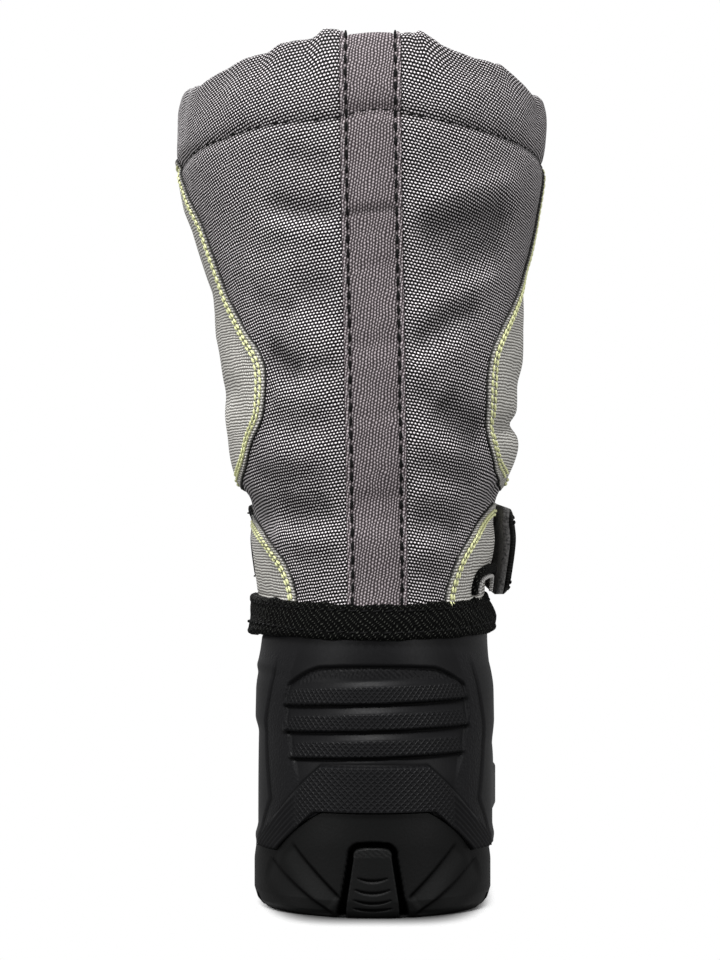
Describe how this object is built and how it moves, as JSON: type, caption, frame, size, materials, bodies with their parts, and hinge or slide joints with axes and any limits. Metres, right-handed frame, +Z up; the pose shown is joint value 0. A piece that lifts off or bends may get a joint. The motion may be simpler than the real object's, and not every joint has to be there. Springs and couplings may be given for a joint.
{
  "type": "snow boot",
  "caption": "Tall child's pull-on snow boot, right foot, with a padded fabric shaft, gathered collar, moulded rubber foot, instep strap and lugged sole.",
  "frame": {"origin": "on the floor, at the middle of the flat spot under the heel", "axes": "+Z up the shaft, -Y towards the toe, +X towards the wearer's inner side"},
  "size_m": [0.1119, 0.208, 0.2493],
  "materials": {
    "outsole_rubber": "moulded thermoplastic rubber, satin",
    "shell_rubber": "moulded thermoplastic rubber, satin, with raised relief",
    "nylon": "coarse woven nylon, grey, with lighter side panels",
    "insole_felt": "needled felt",
    "webbing": "black twill tape",
    "strap_webbing": "coated webbing with a hook and loop underside"
  },
  "bodies": {
    "root": {"outsole": "outsole_rubber", "shell": "shell_rubber", "upper": "nylon", "insole": "insole_felt", "binding": "webbing", "strap": "strap_webbing", "keeper": "webbing"}
  },
  "joints": []
}
